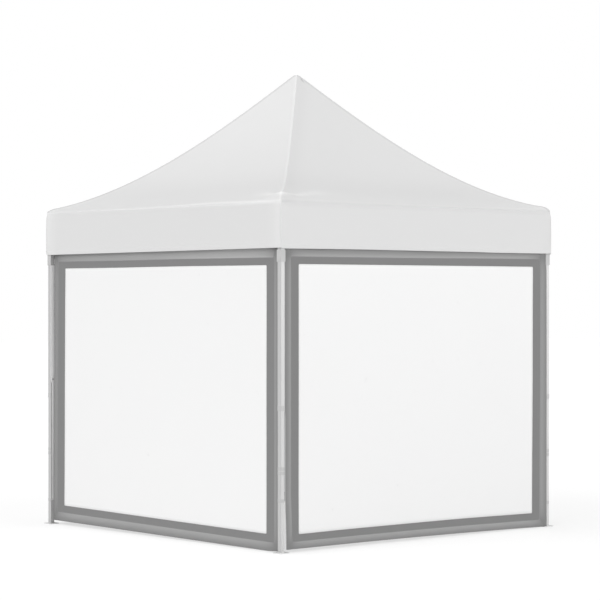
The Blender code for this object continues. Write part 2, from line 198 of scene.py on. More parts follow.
edges = (-FLOOR_REACH, FLOOR_REACH)
floor_mesh = bpy.data.meshes.new("floor")
floor_mesh.from_pydata([(x, -y, 0) for y in edges for x in edges], [], quads(2, 2).tolist())
floor = bpy.data.objects.new("floor", floor_mesh)
scene.collection.objects.link(floor)
print("floor", 2 * FLOOR_REACH, "m square")

# %% [markdown]
# ## Effects that several finishes share
# Close up, the coated cloth shows its plain weave: one thread over, one under. Every surface also varies a
# little in tone, gathers some dust low down, and metal carries fine drawn lines. Painted images could hold
# this, but they would blur close up. Node groups work it out at any distance, and one group serves
# several materials, each with its own numbers.


# %% Node helpers
def feed(tree, socket, value):
    """Links a socket to the one that value is, or sets it to value."""
    if isinstance(value, bpy.types.NodeSocket):
        tree.links.new(value, socket)
    else:
        socket.default_value = value


def maths(tree, operation, *operands):
    """One Math node; each operand is a number or a socket to read from."""
    node = tree.nodes.new("ShaderNodeMath")
    node.operation = operation
    for socket, value in zip(node.inputs, operands):
        feed(tree, socket, value)
    return node.outputs[0]


def arithmetic(tree):
    """Short names for the Math nodes that are used most."""
    return (partial(maths, tree, operation) for operation in ("ADD", "SUBTRACT", "MULTIPLY", "DIVIDE"))


def noise(tree, vector, scale, detail=2.0):
    """Noise between 0 and 1 at scale blobs a metre."""
    node = tree.nodes.new("ShaderNodeTexNoise")
    node.inputs["Detail"].default_value = detail
    feed(tree, node.inputs["Scale"], scale)
    feed(tree, node.inputs["Vector"], vector)
    return node.outputs["Fac"]


def parts(tree, vector):
    """The three numbers of a vector."""
    node = tree.nodes.new("ShaderNodeSeparateXYZ")
    feed(tree, node.inputs[0], vector)
    return node.outputs


def make_group(name, output, recipe, **numbers):
    """A shader node group with a Vector input, number inputs and one output, which recipe works out."""
    tree = bpy.data.node_groups.new(name, "ShaderNodeTree")
    tree.interface.new_socket("Vector", in_out="INPUT", socket_type="NodeSocketVector")
    for label, value in numbers.items():
        socket = tree.interface.new_socket(label, in_out="INPUT", socket_type="NodeSocketFloat")
        socket.default_value = value
    tree.interface.new_socket(output, in_out="OUTPUT", socket_type="NodeSocketFloat")
    given, result = tree.nodes.new("NodeGroupInput"), tree.nodes.new("NodeGroupOutput")
    feed(tree, result.inputs[0], recipe(tree, given.outputs))
    return tree


print("node helpers ready")

# %% Weave, mottling, dust, stitches and drawn metal
QUICKER, SLOW_SHARE = 22.0, 0.7              # mottling: the quick noise's scale, the slow one's share
DUST_PATCHES = 14.0
STITCH_SHOWS = 0.7                           # share of each stitch that lies on top
DRAWN_OUT = 0.012                            # how flat the noise is along a drawn tube


def weave(tree, given):
    """Plain weave: round warp threads on top where the two sine waves agree, weft where they differ."""
    add, subtract, multiply, _ = arithmetic(tree)
    waves = [maths(tree, "SINE", multiply(multiply(part, given["Threads"]), math.pi))
             for part in parts(tree, given["Vector"])[:2]]
    warp_on_top = maths(tree, "GREATER_THAN", multiply(*waves), 0.0)
    warp, weft = (maths(tree, "ABSOLUTE", wave) for wave in waves)
    return add(multiply(warp, warp_on_top), multiply(weft, subtract(1.0, warp_on_top)))


def mottle(tree, given):
    """Slow and quick noise together, as a factor a little above and below 1."""
    add, subtract, multiply, _ = arithmetic(tree)
    slow = noise(tree, given["Vector"], given["Scale"], 3.0)
    quick = noise(tree, given["Vector"], multiply(given["Scale"], QUICKER))
    both = add(multiply(slow, SLOW_SHARE), multiply(quick, 1 - SLOW_SHARE))
    return add(1.0, multiply(multiply(subtract(both, 0.5), given["Amount"]), 2.0))


def dust(tree, given):
    """A mask that is strongest at the ground, fades out by Reach, and is broken up by noise."""
    _, subtract, multiply, divide = arithmetic(tree)
    height = parts(tree, given["Vector"])[2]
    low = maths(tree, "MAXIMUM", subtract(1.0, divide(height, given["Reach"])), 0.0)
    patchy = noise(tree, given["Vector"], DUST_PATCHES, 4.0)
    return multiply(multiply(maths(tree, "POWER", low, 2.0), patchy), given["Amount"])


def stitches(tree, given):
    """Two rows of stitches along a seam: the map's x runs along it and its y is the distance from it.

    A thread shows where the distance differs from Row by less than Thread, for part of each Pitch.
    """
    _, subtract, multiply, divide = arithmetic(tree)
    along, distance = parts(tree, given["Vector"])[:2]
    away = maths(tree, "ABSOLUTE", subtract(maths(tree, "ABSOLUTE", distance), given["Row"]))
    thread = maths(tree, "MAXIMUM", subtract(1.0, divide(away, given["Thread"])), 0.0)
    share = maths(tree, "FRACT", divide(along, given["Pitch"]))
    return multiply(thread, maths(tree, "LESS_THAN", share, STITCH_SHOWS))


def drawn(tree, given):
    """Fine lines along Z, as a drawn aluminium tube has: noise drawn out along its length."""
    longer = tree.nodes.new("ShaderNodeVectorMath")
    longer.operation = "MULTIPLY"
    longer.inputs[1].default_value = (1.0, 1.0, DRAWN_OUT)
    feed(tree, longer.inputs[0], given["Vector"])
    return noise(tree, longer.outputs[0], given["Fineness"], 3.0)


GROUPS = {name: make_group(name, output, recipe, **numbers) for name, output, recipe, numbers in (
    ("plain_weave", "Height", weave, {"Threads": 1100.0}),
    ("mottle", "Factor", mottle, {"Scale": 3.0, "Amount": 0.02}),
    ("ground_dust", "Mask", dust, {"Reach": 0.35, "Amount": 0.10}),
    ("stitches", "Mask", stitches, {"Row": 0.005, "Pitch": 0.004, "Thread": 0.0008}),
    ("drawn_lines", "Height", drawn, {"Fineness": 900.0}))}
print("groups:", ", ".join(GROUPS))

# %% [markdown]
# ## Finishes
# Each finish is one Principled shader. Numbers that are the same all over, such as sheen, sit on the
# shader's own sockets; colour, roughness and relief vary with the groups above. The canopy is white coated
# polyester, the wall surround grey polyester in two tones, the window a smooth milky sheet, the legs
# satin aluminium and the brackets moulded plastic.

# %% A small builder for materials
DUST = (0.42, 0.41, 0.40)


class Finish:
    """A material in the making: its tree, its shader, and short names for the usual connections."""

    def __init__(self, name, roughness, metallic=0.0, **constants):
        """constants are the shader's other sockets, with _ for a space in a name."""
        self.material = bpy.data.materials.new(name)
        self.material.use_nodes = True
        self.tree = self.material.node_tree
        self.shader = self.tree.nodes["Principled BSDF"]
        self.shader.inputs["Roughness"].default_value = roughness
        self.shader.inputs["Metallic"].default_value = metallic
        for socket, value in constants.items():
            self.shader.inputs[socket.replace("_", " ")].default_value = value
        self.place = self.tree.nodes.new("ShaderNodeTexCoord").outputs["Object"]

    def map(self, layer):
        """The piece's own UV map of that name."""
        node = self.tree.nodes.new("ShaderNodeUVMap")
        node.uv_map = layer
        return node.outputs["UV"]

    def field(self, name):
        """The piece's own point attribute of that name."""
        node = self.tree.nodes.new("ShaderNodeAttribute")
        node.attribute_name = name
        return node.outputs["Fac"]

    def group(self, name, vector, **values):
        """One of the shared groups, read from vector; returns its only output."""
        node = self.tree.nodes.new("ShaderNodeGroup")
        node.node_tree = GROUPS[name]
        self.tree.links.new(vector, node.inputs["Vector"])
        for socket, value in values.items():
            node.inputs[socket].default_value = value
        return node.outputs[0]

    def mottle(self, scale, amount):
        """The shared mottling over the whole piece."""
        return self.group("mottle", self.place, Scale=scale, Amount=amount)

    def noise(self, scale, detail):
        """Noise over the whole piece."""
        return noise(self.tree, self.place, scale, detail)

    def math(self, operation, a, b):
        """One Math node of this material."""
        return maths(self.tree, operation, a, b)

    def mix(self, factor, a, b):
        """Colour a where factor is 0 and b where it is 1; each is a colour or a socket."""
        node = self.tree.nodes.new("ShaderNodeMix")
        node.data_type = "RGBA"
        feed(self.tree, node.inputs["Factor"], factor)
        for socket, value in ((node.inputs[6], a), (node.inputs[7], b)):
            feed(self.tree, socket, value if isinstance(value, bpy.types.NodeSocket) else (*value, 1.0))
        return node.outputs[2]

    def dusty(self, colour, reach, amount):
        """The colour with dust over it, up to reach above the ground."""
        return self.mix(self.group("ground_dust", self.place, Reach=reach, Amount=amount), colour, DUST)

    def times(self, colour, factor):
        """A colour, or a socket with one, times a factor that varies over the surface."""
        node = self.tree.nodes.new("ShaderNodeVectorMath")
        node.operation = "SCALE"
        feed(self.tree, node.inputs[0], colour)
        feed(self.tree, node.inputs["Scale"], factor)
        return node.outputs[0]

    def colour(self, socket):
        """The shader's colour comes from this socket."""
        feed(self.tree, self.shader.inputs["Base Color"], socket)

    def roughness(self, socket, middle, swing):
        """Roughness that swings about a middle value as the socket goes from 0 to 1."""
        spread = self.math("MULTIPLY", self.math("SUBTRACT", socket, 0.5), 2.0 * swing)
        feed(self.tree, self.shader.inputs["Roughness"], self.math("ADD", spread, middle))

    def relief(self, *layers):
        """Bump from (height socket, strength, depth in metres), one over the other."""
        socket = self.shader.inputs["Normal"]
        for height, strength, depth in reversed(layers):
            bump = self.tree.nodes.new("ShaderNodeBump")
            bump.inputs["Strength"].default_value = strength
            bump.inputs["Distance"].default_value = depth
            feed(self.tree, bump.inputs["Height"], height)
            feed(self.tree, socket, bump.outputs["Normal"])
            socket = bump.inputs["Normal"]


print("finish builder ready")

# %% Cloth finishes
CANOPY_WHITE, THREAD_WHITE, THREAD_GREY = ((tone,) * 3 for tone in (0.72, 0.70, 0.33))
SHEEN = {"Sheen_Weight": 0.05, "Sheen_Roughness": 0.5}


def canopy_finish():
    """White coated polyester; its white is multiplied by a point field of painted light and shade: painted
    highlights and painted shade along seams, folds and hips, and across the roof.
    """
    made = Finish("canopy_cloth", 0.72, **SHEEN)
    stitched = made.group("stitches", made.map("seam"), Row=0.0085)
    mottled = made.mottle(1.6, 0.012)
    # The point field's painted highlights and painted shade multiply the white
    white = made.times(CANOPY_WHITE, made.math("MULTIPLY", made.field("painted_shading"), mottled))
    made.colour(made.mix(stitched, white, THREAD_WHITE))
    made.roughness(mottled, 0.22, 0.5)
    woven = made.group("plain_weave", made.map("cloth"), Threads=1100.0)
    made.relief((woven, 0.25, 0.0002), (stitched, 0.5, 0.0005), (made.noise(5.0, 3.0), 0.25, 0.004))
    return made.material


def wall_finish():
    """Grey coated polyester in two tones; its point field also holds painted light and shade: a painted
    highlight on the sleeve's crown and painted shade towards its edges.
    """
    made = Finish("wall_cloth", 0.80, **SHEEN)
    stitched = made.group("stitches", made.map("seam"), Row=0.003)
    # The cloth's two tones with their painted highlights and painted shade, times the mottling
    dye_and_painted_shade = made.times((1, 1, 1), made.math("MULTIPLY", made.field("grey"), made.mottle(4.0, 0.02)))
    made.colour(made.mix(stitched, made.dusty(dye_and_painted_shade, 0.20, 0.10), THREAD_GREY))
    woven = made.group("plain_weave", made.map("cloth"), Threads=1000.0)
    made.relief((woven, 0.3, 0.0002), (stitched, 0.5, 0.0004), (made.noise(9.0, 3.0), 0.25, 0.003))
    return made.material


CANOPY_CLOTH, WALL_CLOTH = canopy_finish(), wall_finish()
print("cloth finishes made")

# %% Window, metal and plastic finishes
WINDOW_WHITE, TUBE_GREY, PLATE_GREY, PLASTIC_GREY = ((tone,) * 3 for tone in (0.875, 0.60, 0.74, 0.53))
FOOT_HIGH = 0.0065                           # just above the foot plate's top


def window_finish():
    """Milky sheet: smooth, with a very slow ripple and some dust at its foot."""
    made = Finish("milky_window", 0.35)
    made.colour(made.times(made.dusty(WINDOW_WHITE, 0.5, 0.02), made.mottle(1.2, 0.006)))
    made.roughness(made.mottle(9.0, 0.4), 0.10, 0.25)
    made.relief((made.noise(2.5, 2.0), 0.10, 0.004))
    return made.material


def metal_finish(name, metallic, plate=None):
    """Satin aluminium: drawn lines in its relief and roughness, faint handling marks.

    plate is the colour of a lacquered foot plate, which reaches up to FOOT_HIGH and isn't metallic.
    """
    rough = 0.42
    made = Finish(name, rough, metallic=metallic)
    lines = made.group("drawn_lines", made.place)
    clean = made.dusty(TUBE_GREY, 0.16, 0.35)
    if plate is not None:
        tube = made.math("GREATER_THAN", parts(made.tree, made.place)[2], FOOT_HIGH)
        clean = made.mix(tube, plate, clean)
        feed(made.tree, made.shader.inputs["Metallic"], made.math("MULTIPLY", tube, metallic))
    made.colour(made.times(clean, made.mottle(6.0, 0.03)))
    made.roughness(lines, rough, 0.06)
    made.relief((lines, 0.15, 0.0001))
    return made.material


def plastic_finish():
    """Moulded plastic: a fine spark-eroded grain and slightly uneven tone."""
    made = Finish("bracket_plastic", 0.48)
    grain = made.noise(1400.0, 2.0)
    made.colour(made.times(made.dusty(PLASTIC_GREY, 0.1, 0.2), made.mottle(9.0, 0.02)))
    made.roughness(grain, 0.48, 0.08)
    made.relief((grain, 0.2, 0.0001))
    return made.material


WINDOW_SHEET, PLASTIC = window_finish(), plastic_finish()
LEG_METAL, TRUSS_METAL = metal_finish("leg_metal", 0.50), metal_finish("truss_metal", 0.90)
LOWER_METAL = metal_finish("lower_leg_metal", 0.50, PLATE_GREY)
print("window, metal and plastic finishes made")

# %% Floor finish
FLOOR_WHITE = 0.405
FLOOR_GLOW = (0.63, 0.39)                    # as the camera sees it, and as it lights the tent

floor_finish = Finish("studio_floor", 0.9, Emission_Color=(1, 1, 1, 1), Specular_IOR_Level=0.0,
                      Base_Color=(FLOOR_WHITE, FLOOR_WHITE, FLOOR_WHITE, 1))
feed(floor_finish.tree, floor_finish.shader.inputs["Emission Strength"],
     seen_or_lighting(floor_finish.tree, *FLOOR_GLOW))
floor_mesh.materials.append(floor_finish.material)
print("floor albedo", FLOOR_WHITE)

# %% [markdown]
# ## The canopy
# The real canopy is one cover sewn from four gores, which meet in hips, with a straight valance sewn on at
# the eave. Cloth simulation could drape it, but the frame pulls it tight, so its form is a clear formula:
# the hips fall in a hollow curve, each gore sags a little between its hips, and the cloth stands up only
# where a corner bracket lifts it. The whole cover is one grid. Columns run round the tent and rows run from
# the peak over the eave to the hem, so no gap can open between roof and valance.

# %% Sizes of the canopy
EAVE, EAVE_Z, VALANCE_LOW = 1.485, 2.606, 2.2615
TIP = 0.0195                                 # half width of the flat top of the peak
HIP = (2.6493, 0.2723, 1.2144, -0.3651)      # height along a hip, powers of 1 - v / EAVE
MID_SAG, EAVE_SAG = 0.020, 0.034
SHOULDER = 0.040                             # width of the turned-down edge
CLOTH_THICK = 0.0012
HIP_ROUND, VALANCE_ROUND = 0.006, 0.010      # corner radius in plan: roof, valance
TAPE, TAPE_HIGH, TAPE_EDGE = 0.028, 0.0006, 0.003   # seam tape on one side of each hip
WELT_HIGH, WELT_WIDE, WELT_FALL = 0.0022, 0.020, 0.004   # ridge of the sewn eave seam
EAVE_ZONE = 0.04                             # within this of the eave its seam is the nearest one
HEM, HEM_STITCH = 0.028, 0.0125              # folded hem at the valance's foot, its stitches' place in it
# Spacing of the fine columns beside a side's left and right hip
STRIP_LEFT = np.array([0.0, 0.002, 0.004, 0.006, 0.008, 0.011, 0.015, 0.020])
STRIP_RIGHT = np.array([0.034, 0.030, 0.0285, 0.0265, 0.024, 0.019, 0.014, 0.010, 0.007, 0.005, 0.0025, 0])
ROUND_SHARE, STRIP_SHARE = 0.45, 0.3         # near the peak, radius and strips take up this much of v


def hip_height(v):
    """Height of a hip at half width v: a cubic in 1 - reach / EAVE, where reach is v with a flat start.

    The fourth root of v to the fourth plus TIP to the fourth stays at TIP near the middle, so the peak
    is a small flat top, and it becomes v itself a little further out.
    """
    return polynomial.polyval(1 - (v ** 4 + TIP ** 4) ** 0.25 / EAVE, HIP)


def shoulder_drop(v):
    """0 on the roof, and a quarter round that reaches 1 at the eave over the width of the shoulder."""
    past = np.clip((v - (EAVE - SHOULDER)) / SHOULDER, 0, 1)
    return 1 - np.sqrt(1 - past ** 2)


def roof_height(across, v):
    """Top of the roof at distance v from the centre, across from -1 to 1 between two hips.

    The hip's height, less a sag that is widest halfway, less the eave's sag, which keeps away from the
    corners. Over the shoulder the edge turns down to the fold.
    """
    share = v / EAVE
    middle = 1 - across ** 2
    along_eave = 1 - np.abs(across) ** 5
    height = hip_height(v) - MID_SAG * np.sin(np.pi * share) * middle - EAVE_SAG * share ** 3 * along_eave
    return height + (EAVE_Z - height) * shoulder_drop(v)


print("peak and eave at", [round(float(roof_height(0.0, v)), 4) for v in (0.0, EAVE)], "m")

# %% The canopy's grid
Side = namedtuple("Side", "points s v fall on_roof to_left to_right across to_corner")


def canopy_columns():
    """One side's columns, from its left hip to its right one, as (part, place in the part, corner angle).

    Part 0 is a strip of fine columns beside the left hip, part 1 the stretch between the strips, part 2
    the strip beside the right hip, and the last columns are the arc round the corner.
    """
    straight = np.sin(np.linspace(-1, 1, 45) * math.pi / 2)[1:-1]
    arc = np.linspace(0, math.pi / 2, 7)[1:-1]
    counts = (STRIP_LEFT.size, straight.size, STRIP_RIGHT.size + arc.size)
    part = np.repeat((0, 1, 2), counts)
    place = np.concatenate([STRIP_LEFT, straight, STRIP_RIGHT, np.zeros(arc.size)])
    angle = np.concatenate([np.zeros(part.size - arc.size), arc])
    return part, place, angle


def canopy_rows():
    """Half widths down the roof, and then heights down the valance.

    They crowd where the surface bends: at the peak, the shoulder, the fold and the hem.
    """
    roof = np.concatenate([[0.003, 0.008, 0.013, 0.018, 0.023, 0.029, 0.036, 0.046],
                           np.linspace(0.06, EAVE - 0.085, 50), EAVE - np.linspace(0.075, 0.008, 21),
                           EAVE - np.array([0.006, 0.0042, 0.0026, 0.0013, 0.0004, 0.0])])
    valance = np.concatenate([EAVE_Z - np.array([0.0015, 0.004, 0.007, 0.010, 0.013, 0.017, 0.022, 0.030]),
                              np.linspace(EAVE_Z - 0.045, VALANCE_LOW + 0.045, 16),
                              VALANCE_LOW + np.array([HEM + 0.004, HEM + 0.001, HEM - 0.001, HEM - 0.005,
                                                      0.015, 0.007, 0.002, 0.0])])
    return roof, valance


def canopy_surface():
    """All points of one side, and where they are.

    s runs along the side, v is the half width and fall the depth below the fold; to_left and to_right
    are the distances to the hips, and across and to_corner say how near the closer corner is. In plan
    a row is a square with round corners: a straight stretch, then an arc about a centre set in from
    the corner by the radius.
    """
    part, place, angle = canopy_columns()
    roof, valance = canopy_rows()
    v = np.concatenate([roof, np.full(valance.size, EAVE)])[:, None]
    fall = np.concatenate([np.zeros(roof.size), EAVE_Z - valance])[:, None]
    on_roof = (np.arange(v.size) < roof.size)[:, None]
    radius = HIP_ROUND + (VALANCE_ROUND - HIP_ROUND) * smooth_step(fall, 0, 0.05)
    radius = np.minimum(radius, ROUND_SHARE * v)
    narrow = np.minimum(1, STRIP_SHARE * v / STRIP_RIGHT[0])
    left, right = -(v - radius), v - radius
    start, end = left + STRIP_LEFT[-1] * narrow, right - STRIP_RIGHT[0] * narrow
    flat = np.choose(part, [left + place * narrow, start + (end - start) * (place + 1) / 2,
                            right - place * narrow])
    x = flat + radius * np.sin(angle)
    y = -(v - radius) - radius * np.cos(angle)
    across = np.clip(flat / np.maximum(v - radius, 1e-6), -1, 1)
    z = np.where(on_roof, roof_height(across, v), EAVE_Z - fall) * np.ones_like(x)
    return Side(np.stack([x, y, z], axis=-1), x, v, fall, on_roof, flat - left, right - flat, across,
                (1 - np.abs(across)) * EAVE)


print("one side of the canopy: rows and columns", canopy_surface().s.shape)

# %% [markdown]
# The four sides share one set of points, turned about Z and set side by side in a closed ring. Seam tapes,
# the eave welt, the hem and the cloth's slow waves are small distances, so they are added along the
# surface's own normal, which the differences between neighbouring points give. The light and dark lines
# along seams, hips, folds and the crest, and the lighter top and darker foot of the roofs, are painted
# highlights and painted shade, held in a second array of factors about 1.

# %% Relief of the canopy
VALANCE_WAVE, HEM_HIGH = 0.0014, 0.0010      # slow waves that grow towards the hem, the hem's fold
PUSH_TALL = 0.35                             # height over which the brackets push
CORNER_PUSH, CORNER_ZONE = 0.004, 0.11       # the brackets push the valance out beside each corner
CORNER_OUT, CORNER_NEAR = 0.0088, 0.05       # its corners themselves go out diagonally
FRONT_LIFT, LIFT_REACH = 0.022, 0.17         # the cover sits higher on the bracket at the front corner
LIFT_CREST, LIFT_FOOT = 1.416, 1.458         # half widths between which it steps down again
HEM_RISE, HEM_DIP, HEM_SLOPE, HEM_DROP = 0.0045, 0.0025, 0.006, 0.001   # front hem, left hem
SETTLE_RIGHT = 0.009                         # the front right hip sits this much lower
SETTLE_LEFT, SETTLE_FROM = 0.039, 0.75       # the back left one drops with the square of v past this


def grid_normals(points):
    """Unit normals of a grid that closes round its columns, from the cross product of its two slopes."""
    across_slope = np.roll(points, -1, axis=1) - np.roll(points, 1, axis=1)
    normal = np.cross(np.gradient(points, axis=0), across_slope)
    return normal / np.maximum(np.linalg.norm(normal, axis=-1, keepdims=True), 1e-12)


def bell(value, middle, width):
    """1 in the middle, falling off evenly on both sides: a Gaussian curve."""
    return np.exp(-((value - middle) / width) ** 2)


def all_round(value_of):
    """What value_of gives for each quarter, set side by side."""
    return np.concatenate([value_of(quarter) for quarter in range(4)], axis=1)


def canopy_relief(at):
    """How far each point of a side stands proud: seam tape, eave welt, hem, slow waves, corner push.

    The waves are two sines, 1.2 and 0.6 m long; the push is the root of half a sine over its height.
    """
    tape = TAPE_HIGH * smooth_step(at.to_right, TAPE + 0.001, TAPE + 0.001 - TAPE_EDGE) * at.on_roof
    welt = WELT_HIGH * np.exp(-((at.v - EAVE) ** 2 + (at.fall - WELT_FALL) ** 2) / (WELT_WIDE / 2) ** 2)
    above_hem = EAVE_Z - at.fall - VALANCE_LOW
    hem = HEM_HIGH * smooth_step(-above_hem, -HEM - 0.0005, -HEM + 0.0015)
    growing = (at.fall / (EAVE_Z - VALANCE_LOW)) ** 1.3
    waves = VALANCE_WAVE * growing * (np.sin(5.1 * at.s + 0.7) + 0.6 * np.sin(11.3 * at.s + 2.0))
    pushed = np.sin(np.pi * np.clip(at.fall / PUSH_TALL, 0, 1)) ** 0.5
    push = CORNER_PUSH * bell(at.to_corner, 0, CORNER_ZONE) * pushed
    return tape + welt + (hem + waves + push) * (1 - at.on_roof)


def settle(corner, v):
    """How far a hip has settled below its curve: the right one evenly, the far left one towards its end."""
    if CORNERS[corner] == "front_right":
        return SETTLE_RIGHT * smooth_step(v, 0.0, 0.03)
    if CORNERS[corner] == "back_left":
        return SETTLE_LEFT * np.maximum(v - SETTLE_FROM, 0) ** 2
    return 0 * v


def uneven(at, ring):
    """How far each point of the ring sits above or below its regular place.

    A gore settles with its two hips, in proportion to how near each is. The front corner's bracket
    lifts a round patch, which steps down before the fold. The hems rise, dip and slope a little.
    """
    settled = all_round(lambda quarter: (settle(quarter, at.v) * (1 - at.across)
                                         + settle((quarter + 1) % 4, at.v) * (1 + at.across)) / 2)
    near = bell(np.linalg.norm(ring[..., :2] + LIFT_CREST, axis=-1), 0, LIFT_REACH)
    lifted = FRONT_LIFT * near * (1 - smooth_step(at.v, LIFT_CREST, LIFT_FOOT))
    hanging = smooth_step(at.fall, 0.05, 0.34)
    tilt = (hanging * (HEM_RISE * bell(at.s, -0.75, 0.8) - HEM_DIP * smooth_step(at.s, 0.5, 0.9)),
            hanging * (HEM_SLOPE * at.s - HEM_DROP))
    roof = (lifted - settled * (1 - shoulder_drop(at.v))) * at.on_roof
    return roof + all_round(lambda quarter: tilt[quarter % 2])


print("the front corner is lifted by", 1000 * FRONT_LIFT, "mm")

# %% Painted light and dark lines of the canopy
# A line is (strength, middle, width) of a bell curve. Of a pair, the first is for front and back and
# the second for left and right.
# Every line here is painted into the cloth's colour: painted highlights where light catches a seam, a fold
# or the crest, and painted shade on the hips, in grooves and down the corners. The left roof gets a painted
# highlight high up, and every roof painted shade low down.
FRONT, LEFT = 0, 3                           # quarters on both sides of the front corner
HIP_DARK = (-0.095, -0.125)                  # the taped hips against the sky
SEAM_FRONT, SEAM_LEFT = (-0.032, 0.03, 0.09), (0.050, 0.004, 0.012)   # both sides of the front hip
HIGH_LIGHT, LOW_DARK = 0.035, (-0.036, 1.14, 0.17)   # left roof high up, every roof low down
# Lines on the turned-down edge, by their height above the fold
EAVE_FRONT = ((-0.035, 0.004, 0.008), (-0.018, 0.011, 0.006), (0.030, 0.027, 0.008))
EAVE_LEFT, EAVE_BULGE = (0.145, 0.012, 0.010), (0.013, 0.65, 0.45)
NEAR_CORNER, NEAR_DARK, NEAR_FADE = 0.22, (-0.035, 0.020, 0.020), 0.55   # changes near the front corner
# The crest of the lifted fold: how far it climbs, within what distance of the corner, and its reach
CREST = ((0.17, 0.35, 0.36), (0.105, 0.20, 0.25))
CREST_LIGHT, CREST_WIDE, CREST_WIDER, CREST_OUT = 0.16, 0.019, 0.032, 0.004
CREST_TIP, TIP_REACH = (0.08, LIFT_CREST + 0.006, 0.020), 0.016
END_LIGHT, END_WIDE = (0.070, 0.045), 0.09   # the left valance beside its left and right end
UNDER_FRONT = ((-0.035, 0.0, 0.008), (-0.012, 0.020, 0.008))   # just under the fold
UNDER_LEFT, UNDER_FADE, HUNG_DARK = (0.050, 0.0, 0.008), 0.5, 0.034   # and below it, the left valance
CORNER_LINE = (-0.06, 0.0, 0.010)            # down the valance's other three corners


def line(value, strength, middle, width):
    """A light or dark line: a bell curve of some strength."""
    return strength * bell(value, middle, width)


def eave_shade(above, s, near, kind):
    """Painted lines on the turned-down edge: fine lines of painted shade and highlight in front, and one
    painted highlight along the roll on the left, but not at its far end.
    """
    if kind == 0:
        return sum(line(above, *fold) for fold in EAVE_FRONT) + line(above, *NEAR_DARK) * near
    strength, middle, width = EAVE_LEFT
    roll = line(above, strength, middle + line(s, *EAVE_BULGE), width)
    return roll * smooth_step(s, -1.3, -0.9) * (1 - NEAR_FADE * near)


def crest_shade(v, beside, kind):
    """A painted highlight along the crest of the lifted fold; away from the front corner it climbs, widens
    and fades.
    """
    climb, within, reach = CREST[kind]
    away = smooth_step(beside, 0.0, within)
    crest = line(v, CREST_LIGHT, LIFT_CREST + CREST_OUT - climb * away, CREST_WIDE + CREST_WIDER * away)
    return crest * bell(beside, 0.0, reach) + line(v, *CREST_TIP) * bell(beside, 0.0, TIP_REACH)


print("the crest's line adds up to", CREST_LIGHT, "and the fold's up to", EAVE_LEFT[0])


# %% The canopy's painted light and shade
def valance_shade(quarter, at, near):
    """Painted on the valance: in front, painted shade in a groove under the fold; on the left, a painted
    highlight under the fold, painted highlights near both ends and painted shade lower down; painted shade
    down three corners.
    """
    corners = sum(line(to_hip, *CORNER_LINE) for to_hip, own in ((at.to_left, FRONT), (at.to_right, LEFT))
                  if quarter != own)
    if quarter % 2 == 0:
        return sum(line(at.fall, *fold) for fold in UNDER_FRONT) + corners
    ends = np.where(at.across < 0, *END_LIGHT) * bell(at.to_corner, 0.0, END_WIDE)
    under = line(at.fall, *UNDER_LEFT) * (1 - UNDER_FADE * near)
    return ends + under - HUNG_DARK * smooth_step(at.fall, 0.005, 0.03) + corners


def canopy_shade(quarter, at):
    """The painted light and shade of one side, as a factor about 1.

    The seam folded over the front hip gets a painted highlight on its left and painted shade on its right;
    the other hips stand against the sky and get painted shade. The left roof gets a painted highlight
    high up, and every roof painted shade low down.
    """
    kind = quarter % 2
    beside = {FRONT: at.to_left, LEFT: at.to_right}.get(quarter, np.inf)
    near = bell(beside, 0.0, NEAR_CORNER)
    roof = kind * HIGH_LIGHT * smooth_step(-at.v, -1.0, -0.2) + line(at.v, *LOW_DARK)
    for to_hip, own, seam in ((at.to_left, FRONT, SEAM_FRONT), (at.to_right, LEFT, SEAM_LEFT)):
        tape = HIP_DARK[kind] * smooth_step(to_hip, TAPE + TAPE_EDGE, TAPE - TAPE_EDGE)
        roof = roof + (line(to_hip, *seam) if quarter == own else tape)
    roof = roof + eave_shade(roof_height(at.across, at.v) - EAVE_Z, at.across * at.v, near, kind)
    roof = roof + crest_shade(at.v, beside, kind)
    return 1 + np.where(at.on_roof, roof, valance_shade(quarter, at, near))


# The painted highlights and painted shade of all four sides, as factors about 1
painted_shading = all_round(lambda quarter: canopy_shade(quarter, canopy_surface()))
print("shade from", round(float(painted_shading.min()), 3), "to", round(float(painted_shading.max()), 3))


# %% Maps, and the whole ring
def canopy_maps(at):
    """The cloth's map in metres, and the seam map: x along the nearest seam, y the distance from it."""
    steps = np.linalg.norm(np.diff(at.points[:, 0], axis=0), axis=-1)
    slant = np.concatenate([[0], np.cumsum(steps)])[:, None]
    at_eave = np.where(at.on_roof, np.abs(EAVE - at.v), at.fall)
    at_hem = np.abs(EAVE_Z - at.fall - VALANCE_LOW - HEM + HEM_STITCH)
    near_eave = at_eave < EAVE_ZONE
    distance = np.where(near_eave, at_eave, np.where(at.on_roof, np.abs(at.to_right - TAPE / 2), at_hem))
    along = np.where(near_eave | ~at.on_roof, at.s, slant)
    return np.stack([at.s, -slant + 0 * at.s], axis=-1), np.stack([along, distance], axis=-1)


def whole_canopy():
    """The ring of four sides with its relief and its maps."""
    at = canopy_surface()
    ring = all_round(lambda quarter: quarter_turned(at.points, quarter))
    ring = ring + grid_normals(ring) * np.tile(canopy_relief(at), (1, 4))[..., None]
    near = bell(at.to_corner, 0, CORNER_NEAR)
    outwards = CORNER_OUT * smooth_step(at.fall, 0.0, 0.06) * near / math.sqrt(2)
    ring[..., :2] += np.sign(ring[..., :2]) * np.tile(outwards, (1, 4))[..., None]
    ring[..., 2] += uneven(at, ring)
    return (ring, *(np.tile(layer, (1, 4, 1)) for layer in canopy_maps(at)))


ring, cloth, seam = whole_canopy()
print("the ring reaches out to", round(float(ring[..., 0].max()), 4), "m")

